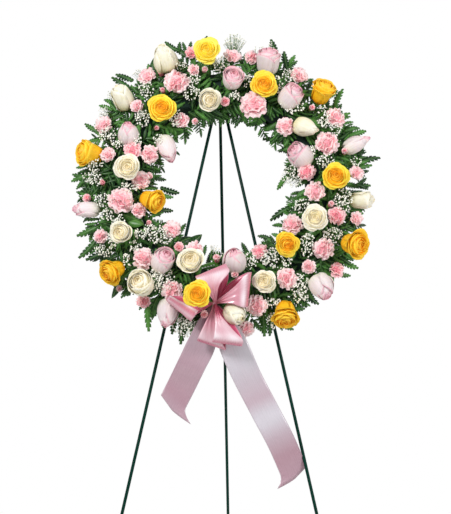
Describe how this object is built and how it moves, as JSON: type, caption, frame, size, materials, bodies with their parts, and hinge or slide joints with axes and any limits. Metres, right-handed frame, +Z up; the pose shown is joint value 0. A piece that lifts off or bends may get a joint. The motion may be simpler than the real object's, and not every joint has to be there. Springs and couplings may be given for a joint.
{
  "type": "funeral wreath on easel",
  "caption": "Round wreath of roses, small carnations, fern and filler flowers with a satin bow, carried by a folding three-leg wire easel.",
  "frame": {"origin": "centre of the bounding box, on the floor under the easel", "axes": "+Z up, -Y the side the flowers face, +X to the right as seen from the front"},
  "size_m": [0.7606, 0.7888, 1.572],
  "materials": {
    "green_enamel": "glossy dark green enamel on steel rod",
    "green_vinyl": "soft satin vinyl",
    "zinc": "bright zinc plate",
    "green_wire": "thin green lacquer on florist wire",
    "tray_plastic": "moulded green plastic, fine matt grain",
    "floral_foam": "open-cell wet floral foam, matt and crumbly",
    "leaf": "leatherleaf fern and rose leaves, waxy on top, matt below",
    "petal_yellow": "velvety yellow petals, orange towards the heart",
    "petal_white": "velvety cream-white petals, warmer towards the heart",
    "petal_pink": "pale petals with pink edges",
    "satin_ribbon": "smooth pink satin with a soft sheen",
    "pick_wood": "bare softwood"
  },
  "bodies": {
    "stand": {"front_leg_left": "green_enamel", "front_leg_right": "green_enamel", "head_bracket": "green_enamel", "top_hook": "green_enamel", "rest_hook_left": "green_enamel", "rest_hook_right": "green_enamel", "foot_cap_left": "green_vinyl", "foot_cap_right": "green_vinyl", "hinge_bolt": "zinc", "hinge_nut": "zinc", "hanging_wire": "green_wire", "ring_tray": "tray_plastic", "foam_ring": "floral_foam", "greenery": "leaf", "bow_pick": "pick_wood", "bow_loops": "satin_ribbon", "bow_knot": "satin_ribbon", "ribbon_tail_left": "satin_ribbon", "ribbon_tail_right": "satin_ribbon", "rose_yellow_01": "petal_yellow", "rose_yellow_02": "petal_yellow", "rose_yellow_03": "petal_yellow", "rose_yellow_04": "petal_yellow", "rose_yellow_05": "petal_yellow", "rose_yellow_06": "petal_yellow", "rose_yellow_07": "petal_yellow", "rose_yellow_08": "petal_yellow", "rose_yellow_09": "petal_yellow", "rose_yellow_10": "petal_yellow", "rose_yellow_11": "petal_yellow", "rose_yellow_12": "petal_yellow", "rose_white_01": "petal_white", "rose_white_02": "petal_white", "rose_white_03": "petal_white", "rose_white_04": "petal_white", "rose_white_05": "petal_white", "rose_white_06": "petal_white", "rose_white_07": "petal_white", "rose_white_08": "petal_white", "rose_white_09": "petal_white", "rose_white_10": "petal_white", "rose_white_11": "petal_white", "rose_white_12": "petal_white", "rose_pink_01": "petal_pink", "rose_pink_02": "petal_pink", "rose_pink_03": "petal_pink", "rose_pink_04": "petal_pink", "rose_pink_05": "petal_pink", "rose_pink_06": "petal_pink", "rose_pink_07": "petal_pink", "rose_pink_08": "petal_pink", "rose_pink_09": "petal_pink", "rose_pink_10": "petal_pink", "rose_pink_11": "petal_pink", "rose_pink_12": "petal_pink"},
    "rear_prop": {"rear_leg": "green_enamel", "foot_cap_rear": "green_vinyl"}
  },
  "joints": [
    {"name": "rear_leg_fold", "type": "hinge", "parent": "stand", "child": "rear_prop", "pos_m": [-0.01765, -0.06238, 1.445], "axis": [-1, 0, 0], "range_deg": [0, 29]}
  ]
}
